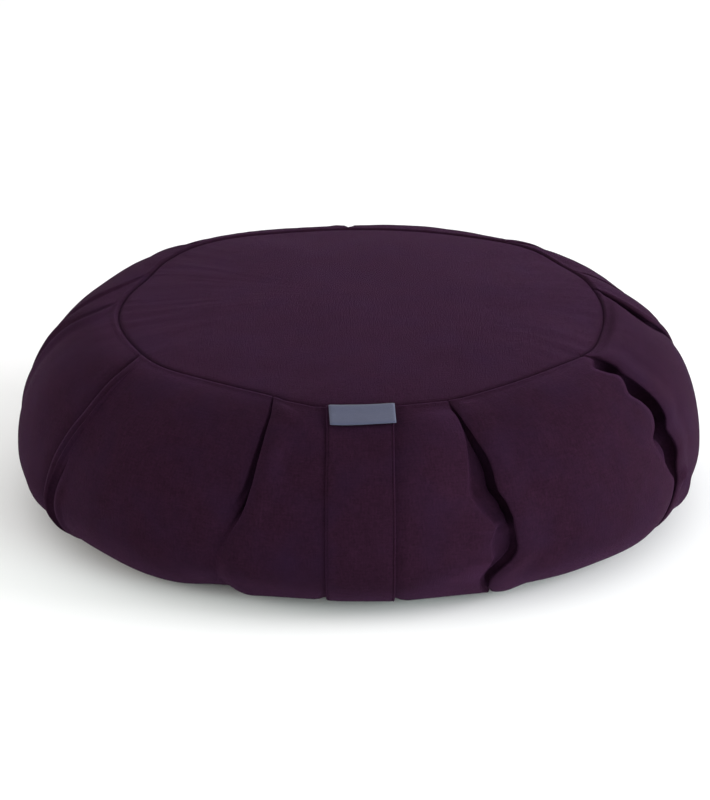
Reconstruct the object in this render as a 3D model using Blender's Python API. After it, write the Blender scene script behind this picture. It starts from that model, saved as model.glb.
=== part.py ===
"""A round meditation cushion of plum cotton: one filled body with a pleated side, the flat carrying strap that
is sewn down its front, and the bare woven label over the head of the strap.

Lengths are millimetres until a mesh is made. +Z is up and the front faces -Y. A place on the side is an angle
and a share. The angle is in degrees from the middle of the front, positive to the right. The share runs down
the cloth of the side, from 0 at the top seam to 1 at the bottom seam.
"""

from collections import namedtuple

import bpy
import numpy as np

MM = 0.001

# Body
WIDEST_RADIUS = 203.3
WIDEST_HEIGHT = 38.0
TOP_SEAM_RADIUS = 144.0
TOP_SEAM_HEIGHT = 113.5
CROWN = 8.0
LEAN = 0.0005  # share of height gained for each mm towards the back
BASE_RADIUS = 152.0
SEAM_DEPTH = 2.0
SEAM_HALF_WIDTH = 2.6
BOTTOM_SEAM_RADIUS = 148.5
BOTTOM_SEAM_HEIGHT = 2.4
PANEL_BULGE = 2.0

# Strap and label
STRAP_WIDTH = 37.0
STRAP_THICKNESS = 1.8
STRAP_ANGLE = 0.1
STRAP_BED = 1.2
LABEL_WIDTH = 35.8
LABEL_HEIGHT = 16.0
LABEL_THICKNESS = 1.0
LABEL_OFFSET = 0.8  # its middle lies this far right of the strap's
LABEL_SHARE = 0.007
CLEARANCE = 0.45

# Steps of the mesh
SIDE_ROWS = 31
PANEL_STEPS = 3
NARROW_PANEL_STEPS = 1
NARROW_PANELS = ("front left", "left tuck", "right")
BED_COLUMNS = (-25.0, -19.2, 0.0, 19.2, 26.0)  # places across the strap's line where its bed bends
STRAP_COLUMNS = 5
LABEL_COLUMNS = 5
LABEL_ROWS = 4

# The top seam is a little angular: it is pushed out at most pleats and runs flatter between them.
SeamPoint = namedtuple("SeamPoint", "angle radius")
SEAM = (
    SeamPoint(-165, 144.5),
    SeamPoint(-138, 152.0),
    SeamPoint(-125, 147.0),
    SeamPoint(-111, 140.0),
    SeamPoint(-100, 141.0),
    SeamPoint(-85, 142.8),
    SeamPoint(-66, 142.5),
    SeamPoint(-50, 143.5),
    SeamPoint(-38, 139.2),
    SeamPoint(-30, 138.3),
    SeamPoint(-20, 140.2),
    SeamPoint(-12, 146.8),
    SeamPoint(-6, 145.4),
    SeamPoint(8, 144.0),
    SeamPoint(20, 146.0),
    SeamPoint(31, 143.0),
    SeamPoint(50, 142.8),
    SeamPoint(61, 146.8),
    SeamPoint(77, 144.8),
    SeamPoint(96, 146.3),
    SeamPoint(109, 147.8),
    SeamPoint(124, 150.6),
    SeamPoint(134, 153.0),
    SeamPoint(152, 147.5),
    SeamPoint(174, 144.0),
)

# Knife pleats, in order around the body. The cloth on the right laps over the cloth on the left. Each list
# gives values at SHARES: the fold's angle, the depth and width of the trough on its left, how proud the fold
# stands, and box, which is 0 where the trough deepens softly towards the fold and 1 where it has a crisp far
# shoulder. reach is how far the proud fold takes to fade.
SHARES = (0.0, 0.08, 0.17, 0.27, 0.37, 0.47, 0.57, 0.66, 0.76, 1.0)
Pleat = namedtuple("Pleat", "name reach line depth width lip box")
PLEATS = (
    Pleat("back", 14,
          line=(-178, -176.5, -174.8, -173.8, -173, -172.3, -172, -172.5, -173, -174),
          depth=(0.6, 1.5, 2.8, 4, 5, 5, 5, 4.6, 4, 2),
          width=(4, 7, 11, 14, 16, 16, 16, 14, 12, 6),
          lip=(0.2, 0.5, 0.9, 1.5, 2, 2, 2, 2, 2, 0.5),
          box=(0.4, 0.4, 0.4, 0.4, 0.4, 0.4, 0.4, 0.4, 0.4, 0.4)),
    Pleat("back left", 14,
          line=(-138, -136, -133.5, -132, -131, -130, -129, -129, -129, -130),
          depth=(1.5, 3, 4, 4.6, 5, 5, 5, 4.6, 4, 2),
          width=(4, 7, 11, 14, 16, 17, 18, 16, 14, 6),
          lip=(0.3, 0.8, 1.3, 1.6, 1.8, 1.8, 1.8, 1.7, 1.5, 0.5),
          box=(0.4, 0.4, 0.4, 0.4, 0.4, 0.4, 0.4, 0.4, 0.4, 0.4)),
    Pleat("left tuck", 8,
          line=(-114.5, -103.5, -99, -97, -97, -98.5, -98.5, -98.5, -98.5, -99),
          depth=(1.5, 3.5, 3, 1.8, 0.8, 0.5, 0.5, 0.5, 0.5, 0.5),
          width=(4, 8, 8, 7, 6, 5, 5, 5, 5, 5),
          lip=(0.5, 1.8, 1.6, 1, 0.5, 0.3, 0.3, 0.3, 0.3, 0.3),
          box=(0.3, 0.3, 0.3, 0.3, 0.3, 0.3, 0.3, 0.3, 0.3, 0.3)),
    Pleat("left", 14,
          line=(-94, -88.4, -87.8, -88, -89, -90, -91, -91, -91, -91),
          depth=(1.5, 3, 4.5, 5, 5, 4.5, 4.5, 4, 3.5, 2),
          width=(4, 8, 11, 13, 14, 14, 14, 13, 12, 6),
          lip=(0.5, 1.2, 1.8, 2, 1.8, 1.6, 1.5, 1.3, 1.2, 0.5),
          box=(0.3, 0.3, 0.3, 0.3, 0.3, 0.3, 0.3, 0.3, 0.3, 0.3)),
    Pleat("front left", 7,
          line=(-59.3, -56.2, -55.4, -55.6, -57.4, -59.5, -61.1, -61.9, -61.8, -59.5),
          depth=(1.2, 2.5, 3.5, 4, 4.5, 5, 5.5, 5, 4.5, 2),
          width=(4, 10, 16, 20, 24, 24, 24, 18, 14, 6),
          lip=(0.5, 1, 1.5, 1.6, 1.8, 1.8, 1.8, 1.8, 1.8, 0.5),
          box=(0.1, 0.1, 0.1, 0.1, 0.1, 0.1, 0.1, 0.1, 0.1, 0.1)),
    Pleat("front left pocket", 9,
          line=(-55.5, -52.5, -51.3, -51.3, -53, -55.3, -57.2, -57.8, -58.3, -56),
          depth=(0, 0, 0, 0, 0, 0.6, 7, 10, 7, 1),
          width=(4, 4, 4, 4, 4, 4, 6, 6.5, 4, 4),
          lip=(0, 0, 0, 0, 0, 0.2, 0.9, 1.2, 1.2, 0.2),
          box=(0.2, 0.2, 0.2, 0.2, 0.2, 0.2, 0.2, 0.2, 0.2, 0.2)),
    Pleat("left of strap", 18,
          line=(-19.5, -17.9, -17.3, -17.1, -17.5, -19.3, -21.6, -22.5, -22.8, -19.5),
          depth=(1.5, 5, 8, 11, 11, 6, 3.5, 3, 3.5, 2),
          width=(1.5, 2.5, 4, 5.5, 6, 10, 16, 18, 14, 6),
          lip=(0.5, 1.2, 1.6, 2, 2, 1.4, 1, 0.8, 1.6, 1),
          box=(0.1, 0.3, 0.8, 1, 1, 0.5, 0.2, 0.1, 0.1, 0.2)),
    Pleat("right of strap", 15,
          line=(19.1, 19.4, 20.1, 21.5, 22.3, 24.0, 24.6, 22.2, 21.4, 24.0),
          depth=(2, 5, 9, 12, 14, 12, 6, 6, 5, 2),
          width=(1.5, 2, 4, 10, 14, 15, 15, 10, 6, 5),
          lip=(0.5, 1.2, 1.8, 2, 2, 2, 2.2, 2.2, 2, 1),
          box=(0.1, 0.3, 0.6, 0.9, 1, 1, 1, 0.8, 0.4, 0.3)),
    Pleat("front right", 16,
          line=(59.5, 60.8, 60.4, 63.0, 63.2, 64.4, 63.8, 61.4, 60, 59),
          depth=(2, 8, 7, 13, 14, 9, 6, 7, 5, 3),
          width=(2.5, 13, 5, 13, 16, 17, 8, 4.5, 4, 4),
          lip=(0.4, 1.3, 1.4, 1.6, 1.8, 1.8, 1.8, 1.8, 1.5, 0.5),
          box=(0.5, 1, 0.8, 1, 1, 1, 1, 1, 1, 0.5)),
    Pleat("right", 11,
          line=(101, 94.7, 92.5, 96, 99, 100, 100, 99.5, 99, 97),
          depth=(2, 7, 8, 6.5, 5, 4, 4, 4, 3.5, 2),
          width=(3, 10, 13, 12, 12, 12, 13, 13, 12, 6),
          lip=(0.4, 1.2, 1.5, 1.5, 1.5, 1.5, 1.5, 1.5, 1.5, 0.5),
          box=(0.8, 0.8, 0.8, 0.8, 0.8, 0.8, 0.8, 0.8, 0.8, 0.8)),
    Pleat("right tuck", 8,
          line=(117, 113, 110, 109, 109, 109, 109, 109, 109, 109),
          depth=(1.5, 2.5, 1, 0.4, 0.4, 0.4, 0.4, 0.4, 0.4, 0.4),
          width=(4, 7, 6, 5, 5, 5, 5, 5, 5, 5),
          lip=(0.4, 1, 0.6, 0.3, 0.3, 0.3, 0.3, 0.3, 0.3, 0.3),
          box=(0.3, 0.3, 0.3, 0.3, 0.3, 0.3, 0.3, 0.3, 0.3, 0.3)),
    Pleat("back right", 14,
          line=(142, 139, 136, 134.5, 133, 132.5, 132, 132, 132, 133),
          depth=(1.5, 3, 4, 4.6, 5, 5, 5, 4.6, 4, 2),
          width=(4, 7, 11, 14, 16, 17, 18, 16, 14, 6),
          lip=(0.3, 0.8, 1.3, 1.6, 1.8, 1.8, 1.8, 1.7, 1.5, 0.5),
          box=(0.4, 0.4, 0.4, 0.4, 0.4, 0.4, 0.4, 0.4, 0.4, 0.4)),
)

# Stations across a pleat, left to right. The place across is width times the trough's width, overlap times the
# hidden lap, reach times the pleat's reach, and mm. The place in or out is depth times the trough's depth (or
# boxed_depth, where the trough is boxy) and lip times the lip.
Station = namedtuple("Station", "width overlap reach mm depth boxed_depth lip")
SECTION = (
    Station(-1.00, 0.0, 0.0, 0.0, 0.00, 0.00, 0.0),
    Station(-0.70, 0.0, 0.0, -0.2, 0.09, 0.44, 0.0),
    Station(-0.30, 0.0, 0.0, -0.4, 0.46, 0.66, 0.0),
    Station(0.00, 1.0, 0.0, -0.5, 1.00, 1.00, 0.0),
    Station(0.00, -0.2, 0.0, 0.6, 0.22, 0.22, 0.4),
    Station(0.00, 0.0, 0.0, 1.8, 0.00, 0.00, 1.0),
    Station(0.00, 0.0, 0.5, 0.0, 0.00, 0.00, 0.45),
    Station(0.00, 0.0, 1.0, 0.0, 0.00, 0.00, 0.0),
)
OVERLAP_OF_DEPTH = 0.35

# Lumps and dents besides the pleats. along and across are the sizes down and around the side, turn leans the
# lump's top to the right in degrees, and height is negative for a dent.
Lump = namedtuple("Lump", "angle share along across turn height")
LUMPS = (
    Lump(0.5, 0.17, 20, 34, 0, -6.0),      # the front is drawn in under the label
    Lump(21.9, 0.565, 7, 4, 0, 1.6),       # the pouch low in the trough right of the strap
    Lump(-25.0, 0.80, 12, 10, 0, -2.5),    # the dent at the foot of the pleat left of the strap
    Lump(64.5, 0.575, 4, 5, -30, 3.0),     # the curl at the foot of the front right trough
    Lump(12.5, 0.66, 14, 5, 30, -1.6),     # the soft crease beside the strap
    Lump(-60.0, 0.72, 14, 26, 0, 3.4),     # the cloth sags fuller low on the left, on the right and by the strap
    Lump(-69.0, 0.69, 10, 9, 0, 1.8),
    Lump(-40.0, 0.79, 10, 26, 0, 1.6),
    Lump(-19.0, 0.82, 8, 12, 0, 1.8),
    Lump(70.0, 0.68, 10, 10, 0, 2.2),
    Lump(56.0, 0.75, 14, 30, 0, 3.4),
    Lump(22.0, 0.82, 12, 26, 0, 2.8),
    Lump(112.0, 0.20, 28, 50, 0, -2.8),    # and hangs in a little high on the right and along the back
    Lump(180.0, 0.03, 26, 150, 0, -1.4),
)


def plum(name, colour, roughness):
    """A cloth material in one linear colour."""
    material = bpy.data.materials.new(name)
    material.use_nodes = True
    shader = material.node_tree.nodes["Principled BSDF"]
    shader.inputs["Base Color"].default_value = (*colour, 1.0)
    shader.inputs["Roughness"].default_value = roughness
    shader.inputs["Metallic"].default_value = 0.0
    return material


def smooth_curve(places, values, wanted):
    """Values between places on a smooth curve through them, with the slope at each place from its neighbours."""
    places = np.asarray(places, float)
    values = np.asarray(values, float)
    slopes = np.gradient(values, places)
    index = np.clip(np.searchsorted(places, wanted, side="right") - 1, 0, len(places) - 2)
    step = places[index + 1] - places[index]
    t = (wanted - places[index]) / step
    start = (1 + 2 * t) * (1 - t) ** 2 * values[index] + t * (1 - t) ** 2 * step * slopes[index]
    end = t**2 * (3 - 2 * t) * values[index + 1] + t**2 * (t - 1) * step * slopes[index + 1]
    return start + end


def ease(value, low, high):
    """0 below low, 1 above high, and a soft step between them."""
    t = np.clip((value - low) / (high - low), 0, 1)
    return t * t * (3 - 2 * t)


def seam_radius(angle):
    """The top seam's radius at an angle in degrees."""
    knots = [point.angle for point in SEAM]
    radii = [point.radius for point in SEAM]
    angles = [knots[-2] - 360, knots[-1] - 360, *knots, knots[0] + 360, knots[1] + 360]
    values = [radii[-2], radii[-1], *radii, radii[0], radii[1]]
    turned = (np.asarray(angle, float) - knots[0]) % 360 + knots[0]
    return smooth_curve(angles, values, turned)


def side_lengths():
    """Shares down the side and the two quarter turns they belong to, by the length of the cloth."""
    turn = np.linspace(0, np.pi, 361)
    upper = turn < np.pi / 2
    low_turn = turn - np.pi / 2
    r = np.where(upper, TOP_SEAM_RADIUS + (WIDEST_RADIUS - TOP_SEAM_RADIUS) * np.sin(turn),
                 BASE_RADIUS + (WIDEST_RADIUS - BASE_RADIUS) * np.cos(low_turn))
    z = np.where(upper, WIDEST_HEIGHT + (TOP_SEAM_HEIGHT - WIDEST_HEIGHT) * np.cos(turn),
                 WIDEST_HEIGHT - WIDEST_HEIGHT * np.sin(low_turn))
    length = np.concatenate([[0], np.cumsum(np.hypot(np.diff(r), np.diff(z)))])
    return length / length[-1], turn, length[-1]


SHARE_OF_TURN, TURNS, SIDE_LENGTH = side_lengths()


def side_section(angle, share):
    """Radius, height and outward normal (radial, up) of the plain side, before pleats and lean."""
    turn = np.interp(share, SHARE_OF_TURN, TURNS)
    upper = turn < np.pi / 2
    low_turn = turn - np.pi / 2
    top = seam_radius(angle)
    r = np.where(upper, top + (WIDEST_RADIUS - top) * np.sin(turn),
                 BASE_RADIUS + (WIDEST_RADIUS - BASE_RADIUS) * np.cos(low_turn))
    rise = TOP_SEAM_HEIGHT - WIDEST_HEIGHT
    z = np.where(upper, WIDEST_HEIGHT + rise * np.cos(turn), WIDEST_HEIGHT * (1 - np.sin(low_turn)))
    out = np.where(upper, rise * np.sin(turn), WIDEST_HEIGHT * np.cos(low_turn))
    up = np.where(upper, (WIDEST_RADIUS - top) * np.cos(turn),
                  -(WIDEST_RADIUS - BASE_RADIUS) * np.sin(low_turn))
    size = np.hypot(out, up)
    return r, z, out / size, up / size


def lumps(angle, share):
    """How far the lumps and dents move the cloth out."""
    total = np.zeros(np.broadcast(angle, share).shape)
    radius = side_section(angle, share)[0]
    for lump in LUMPS:
        across = np.radians((angle - lump.angle + 180) % 360 - 180) * radius
        down = (share - lump.share) * SIDE_LENGTH
        turn = np.radians(lump.turn)
        u = across * np.cos(turn) + down * np.sin(turn)
        v = down * np.cos(turn) - across * np.sin(turn)
        total = total + lump.height * np.exp(-0.5 * ((u / lump.across) ** 2 + (v / lump.along) ** 2))
    return total


def strap_bed(angle, share):
    """The strap presses a hollow into the side, as deep as its own thickness where it reaches the floor."""
    across = np.abs(np.radians(angle - STRAP_ANGLE)) * side_section(angle, share)[0]
    beside = 1 - ease(across, STRAP_WIDTH / 2 + 0.5, STRAP_WIDTH / 2 + 6.5)
    depth = STRAP_BED + (STRAP_THICKNESS + CLEARANCE - STRAP_BED) * ease(share, 0.72, 0.92)
    return -depth * beside * ease(share, 0.0, 0.06)


def placed(angle, share, out):
    """World points of places on the side, moved out by a distance along the plain side's normal."""
    r, z, radial, up = side_section(angle, share)
    move = out + lumps(angle, share) + strap_bed(angle, share)
    r = r + move * radial
    z = z + move * up
    turn = np.radians(angle)
    x = r * np.sin(turn)
    y = -r * np.cos(turn)
    z = np.maximum(z * (1 + LEAN * y), 0.0)
    return np.stack([x, y, z], axis=-1)


def columns_at(share):
    """Angle and outward move of every mesh column at one share, pleat by pleat and panel by panel."""
    radius = float(side_section(0.0, share)[0])
    degrees_per_mm = 1 / np.radians(radius)
    growth = ease(share, 0.0, 0.06) * (1 - 0.7 * ease(share, 0.9, 1.0))
    starts, ends, sections = [], [], []
    for pleat in PLEATS:
        line, depth, width, lip, box = (float(smooth_curve(SHARES, column, share))
                                        for column in (pleat.line, pleat.depth, pleat.width, pleat.lip, pleat.box))
        depth = max(depth, 0.0) * (0.25 + 0.75 * growth)
        lip = lip * (0.25 + 0.75 * growth)
        overlap = OVERLAP_OF_DEPTH * depth * growth
        spread = 0.4 + 0.6 * growth
        section = []
        for station in SECTION:
            past_fold = station.reach * pleat.reach + station.mm
            across = station.width * width + station.overlap * overlap + past_fold * spread
            share_in = station.depth + (station.boxed_depth - station.depth) * box
            section.append((line + across * degrees_per_mm, lip * station.lip - depth * share_in))
        starts.append(section[0][0])
        ends.append(section[-1][0])
        sections.append(section)
    angles, moves = [], []
    bulge = PANEL_BULGE * ease(share, 0.0, 0.3) * (1 - ease(share, 0.75, 1.0))
    for number, section in enumerate(sections):
        angles.extend(place[0] for place in section)
        moves.extend(place[1] for place in section)
        after = starts[number + 1] if number + 1 < len(PLEATS) else starts[0] + 360
        if PLEATS[number].name == "left of strap":
            inner = [STRAP_ANGLE + across * degrees_per_mm for across in BED_COLUMNS]
        else:
            steps = NARROW_PANEL_STEPS if PLEATS[number].name in NARROW_PANELS else PANEL_STEPS
            inner = np.linspace(ends[number], after, steps + 2)[1:-1]
        for angle in inner:
            part = (angle - ends[number]) / (after - ends[number])
            angles.append(angle)
            moves.append(bulge * 4 * part * (1 - part))
    return np.array(angles), np.array(moves)


def seam_ring(angles, inward, drop):
    """Points beside the top seam, inward of it by a distance and dropped below the plain surface."""
    r = seam_radius(angles) - inward
    turn = np.radians(angles)
    x = r * np.sin(turn)
    y = -r * np.cos(turn)
    lumped = lumps(angles, np.zeros(len(angles)))
    z = (TOP_SEAM_HEIGHT - drop + lumped) * (1 + LEAN * y)
    return np.stack([x, y, z], axis=-1)


def crown_ring(angles, share):
    """Points of the top panel at a share of the way out from its middle."""
    even = angles[0] + np.arange(len(angles)) * 360.0 / len(angles)
    spread = even + (angles - even) * share**2
    turn = np.radians(spread)
    r = (seam_radius(spread) - SEAM_HALF_WIDTH) * share
    x = r * np.sin(turn)
    y = -r * np.cos(turn)
    lumped = lumps(spread, np.zeros(len(spread))) * share**6
    z = (TOP_SEAM_HEIGHT + CROWN * (1 - share**2) + lumped) * (1 + LEAN * y)
    return np.stack([x, y, z], axis=-1)


def flat_ring(angles, radius, height):
    """Points of the underside at one radius and height."""
    turn = np.radians(angles)
    return np.stack([radius * np.sin(turn), -radius * np.cos(turn), np.full(len(angles), height)], axis=-1)


def side_shares():
    """The shares of the mesh rows down the side, from just outside the top seam."""
    first = SEAM_HALF_WIDTH / SIDE_LENGTH
    return first + (1 - first) * np.linspace(0, 1, SIDE_ROWS)


def cushion_rings():
    """Rings of points from the top panel over the top seam, down the side and under to the base."""
    seam_angles = columns_at(0.0)[0]
    rings = [crown_ring(seam_angles, share) for share in (0.3, 0.62, 0.86, 1.0)]
    rings.append(seam_ring(seam_angles, 0.3, SEAM_DEPTH))
    for share in side_shares():
        angles, moves = columns_at(share)
        rings.append(placed(angles, np.full(len(angles), share), moves))
    base_angles = columns_at(1.0)[0]
    rings.append(flat_ring(base_angles, BOTTOM_SEAM_RADIUS, BOTTOM_SEAM_HEIGHT))
    even = base_angles[0] + np.arange(len(base_angles)) * 360.0 / len(base_angles)
    rings.append(flat_ring(base_angles, BOTTOM_SEAM_RADIUS - 3.5, 0.0))
    rings.append(flat_ring((even + base_angles) / 2, BOTTOM_SEAM_RADIUS * 0.5, 0.0))
    return rings


def mesh_object(name, points, faces, material):
    """A smooth shaded object from points in millimetres."""
    mesh = bpy.data.meshes.new(name)
    mesh.from_pydata([tuple(point) for point in points * MM], [], faces)
    mesh.validate()
    mesh.materials.append(material)
    mesh.shade_smooth()
    result = bpy.data.objects.new(name, mesh)
    bpy.context.scene.collection.objects.link(result)
    return result


def skin_faces(ring_count, column_count):
    """Quads between rings listed from the top down, and a fan to a middle point at each end."""
    faces = []
    top = ring_count * column_count
    bottom = top + 1
    last = (ring_count - 1) * column_count
    for column in range(column_count):
        after = (column + 1) % column_count
        for ring in range(ring_count - 1):
            here = ring * column_count
            below = here + column_count
            faces.append((here + column, below + column, below + after, here + after))
        faces.append((top, column, after))
        faces.append((bottom, last + after, last + column))
    return faces


def cushion(material):
    """The filled body."""
    rings = cushion_rings()
    middle_top = [0.0, 0.0, TOP_SEAM_HEIGHT + CROWN]
    middle_bottom = [0.0, 0.0, 0.0]
    points = np.concatenate([*rings, [middle_top], [middle_bottom]])
    return mesh_object("cushion", points, skin_faces(len(rings), len(rings[0])), material)


def panel_move(angle, share):
    """The outward move of the cloth between the two pleats beside the strap, read from the mesh columns."""
    angles, moves = columns_at(share)
    return np.interp(angle, angles, moves)


def sheet_points(across_places, shares, slant, offset):
    """Grid points of a sewn sheet: distances across the strap's line, by shares down the side."""
    rows = []
    for share in shares:
        row_shares = share + slant * across_places / SIDE_LENGTH
        radius = side_section(STRAP_ANGLE, share)[0]
        angles = STRAP_ANGLE + np.degrees(across_places / radius)
        moves = np.array([float(panel_move(a, s)) for a, s in zip(angles, row_shares)])
        rows.append(placed(angles, row_shares, moves + offset))
    return np.array(rows)


def sheet_faces(rows, columns):
    """Faces of a closed sheet: its outer grid, its inner grid, and the edge between them."""
    size = rows * columns
    faces = []
    for row in range(rows - 1):
        for column in range(columns - 1):
            a = row * columns + column
            b, c, d = a + columns, a + columns + 1, a + 1
            faces.append((a, b, c, d))
            faces.append((size + a, size + d, size + c, size + b))
    top = list(range(columns))
    right = [row * columns + columns - 1 for row in range(rows)]
    bottom = [size - 1 - column for column in range(columns)]
    left = [(rows - 1 - row) * columns for row in range(rows)]
    rim = top[:-1] + right[:-1] + bottom[:-1] + left[:-1]
    for here, after in zip(rim, rim[1:] + rim[:1]):
        faces.append((here, after, size + after, size + here))
    return faces


def sewn_sheet(name, across_places, shares, slant, lift, thickness, material):
    """A closed sheet that lies on the side, its inner face lifted off the cloth below."""
    outer = sheet_points(across_places, shares, slant, lift + thickness)
    inner = sheet_points(across_places, shares, slant, lift)
    rows, columns = outer.shape[:2]
    points = np.concatenate([outer.reshape(-1, 3), inner.reshape(-1, 3)])
    return mesh_object(name, points, sheet_faces(rows, columns), material)


def strap(material):
    """The flat carrying strap, from the top seam down the front to the bottom seam."""
    across = np.linspace(-STRAP_WIDTH / 2, STRAP_WIDTH / 2, STRAP_COLUMNS)
    return sewn_sheet("strap", across, side_shares()[:-1], 0.0, CLEARANCE, STRAP_THICKNESS, material)


def label(material):
    """The bare woven label, caught in the top seam over the head of the strap."""
    across = LABEL_OFFSET + np.linspace(-LABEL_WIDTH / 2, LABEL_WIDTH / 2, LABEL_COLUMNS)
    shares = np.linspace(LABEL_SHARE, LABEL_SHARE + LABEL_HEIGHT / SIDE_LENGTH, LABEL_ROWS)
    lift = CLEARANCE + STRAP_THICKNESS + CLEARANCE
    return sewn_sheet("label", across, shares, -0.02, lift, LABEL_THICKNESS, material)


def centre(pieces):
    """Moves every piece so that the middle of the whole model's box is over the origin, resting on z = 0."""
    points = np.array([vertex.co for piece in pieces for vertex in piece.data.vertices])
    low, high = points.min(axis=0), points.max(axis=0)
    for piece in pieces:
        for vertex in piece.data.vertices:
            vertex.co.x -= (low[0] + high[0]) / 2
            vertex.co.y -= (low[1] + high[1]) / 2
            vertex.co.z -= low[2]


def main():
    for old in list(bpy.data.objects):
        bpy.data.objects.remove(old, do_unlink=True)
    cloth = plum("plum cotton", (0.040, 0.010, 0.028), 0.9)
    webbing = plum("plum cotton strap", (0.040, 0.010, 0.028), 0.9)
    woven = plum("slate woven label", (0.13, 0.14, 0.22), 0.7)
    centre([cushion(cloth), strap(webbing), label(woven)])


main()
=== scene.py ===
"""A round meditation cushion of plum cotton, dressed: the filled body with its knife pleats, the flat strap
sewn down its front, the bare woven label over the head of the strap, a pale floor, soft light and a camera.

Lengths are millimetres until a mesh is made. +Z is up and the front faces -Y. A place on the side is an angle
and a share. The angle is in degrees from the middle of the front, positive to the right. The share runs down
the cloth of the side, from 0 at the top seam to 1 at the bottom seam.
"""

import math
from collections import namedtuple

import bpy
import numpy as np
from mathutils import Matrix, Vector, noise


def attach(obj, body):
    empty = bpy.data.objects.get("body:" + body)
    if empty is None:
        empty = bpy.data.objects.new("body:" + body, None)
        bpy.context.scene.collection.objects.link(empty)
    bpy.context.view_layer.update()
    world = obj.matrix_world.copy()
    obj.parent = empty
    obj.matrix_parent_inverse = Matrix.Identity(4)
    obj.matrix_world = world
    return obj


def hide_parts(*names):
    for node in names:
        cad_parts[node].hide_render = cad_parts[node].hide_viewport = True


MM = 0.001

# Body, as in the solids
WIDEST_RADIUS = 203.3
WIDEST_HEIGHT = 38.0
TOP_SEAM_RADIUS = 144.0
TOP_SEAM_HEIGHT = 113.5
CROWN = 8.0
LEAN = 0.0005  # share of height gained for each mm towards the back
BASE_RADIUS = 152.0
BOTTOM_SEAM_RADIUS = 148.5
BOTTOM_SEAM_HEIGHT = 2.4
PANEL_BULGE = 2.0
CENTRE_X = -0.01  # the solids stand with the middle of their box over the origin
CENTRE_Y = 1.61

# Top seam: a narrow crease with softly rolled edges
SEAM_DEPTH = 1.5
SEAM_WIDTH = 0.5
SEAM_ROLL = 0.55
SEAM_ROLL_DISTANCE = 2.4
SEAM_ROLL_WIDTH = 1.3

# Strap and label
STRAP_WIDTH = 37.0
STRAP_THICKNESS = 1.7
STRAP_ANGLE = 0.1
STRAP_BED = 1.2
STRAP_LIFT = 0.15
STRAP_END_SHARE = 0.985
STITCH_INSET = 1.25
STITCH_PITCH = 2.4
STITCH_LENGTH = 1.6
STITCH_RADIUS = 0.17
STITCH_SINK = 0.36
STRAP_SWAY = 0.35
STRAP_TURN_LEFT = 1.5  # how far in from its edge the strap rounds over
STRAP_TURN_RIGHT = 0.8
STRAP_PRESSED_LEFT = 0.2  # the share of its thickness left at the edge
STRAP_PRESSED_RIGHT = 0.35
STRAP_RIDGE_RIGHT = 0.28
LABEL_WIDTH = 35.8
LABEL_HEIGHT = 18.7
LABEL_SKEW = 0.9  # its foot swings this far to the right
LABEL_THICKNESS = 0.8
LABEL_OFFSET = 0.8
LABEL_SLANT = -0.0136
LABEL_LIFT = 2.5
LABEL_EDGE = 0.8  # the paler woven edge

# Cloth
THREAD_PITCH = 0.62
WEAVE_RELIEF = 0.34
LABEL_RIB_PITCH = 0.42
LABEL_WARP_PITCH = 0.36
PLUM = (0.0104, 0.0030, 0.0079)
PLUM_LIGHT = (0.0208, 0.0063, 0.0163)
# painted shade: the thread's dark colour stands in for the shade in the stitch dents, not a darker thread
THREAD_PAINTED_SHADE = (0.0050, 0.0015, 0.0038)
PLUM_BLUE = (0.0140, 0.0052, 0.0164)
SLATE = (0.039, 0.042, 0.076)
SLATE_LIGHT = (0.065, 0.070, 0.120)

# Camera, in degrees and metres
CAMERA_ELEVATION = 20.0
CAMERA_DISTANCE = 1.5
CAMERA_AIM = (-0.0025, -0.0016, 0.0558)
CAMERA_LENS = 112.05
FLOOR_REACH = 14.0
LAMP_AIM = (0, 0, 0.06)

# The top seam is a little angular: it is pushed out at most pleats and runs flatter between them.
SeamPoint = namedtuple("SeamPoint", "angle radius")
SEAM = (
    SeamPoint(-165, 144.5),
    SeamPoint(-138, 152.0),
    SeamPoint(-125, 147.0),
    SeamPoint(-111, 140.0),
    SeamPoint(-100, 141.0),
    SeamPoint(-85, 142.8),
    SeamPoint(-66, 142.5),
    SeamPoint(-50, 143.5),
    SeamPoint(-38, 139.2),
    SeamPoint(-30, 138.3),
    SeamPoint(-20, 140.2),
    SeamPoint(-12, 146.8),
    SeamPoint(-6, 145.4),
    SeamPoint(8, 144.0),
    SeamPoint(20, 146.0),
    SeamPoint(31, 143.0),
    SeamPoint(50, 142.8),
    SeamPoint(61, 146.8),
    SeamPoint(77, 144.8),
    SeamPoint(96, 146.3),
    SeamPoint(109, 147.8),
    SeamPoint(124, 150.6),
    SeamPoint(134, 153.0),
    SeamPoint(152, 147.5),
    SeamPoint(174, 144.0),
)

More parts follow.
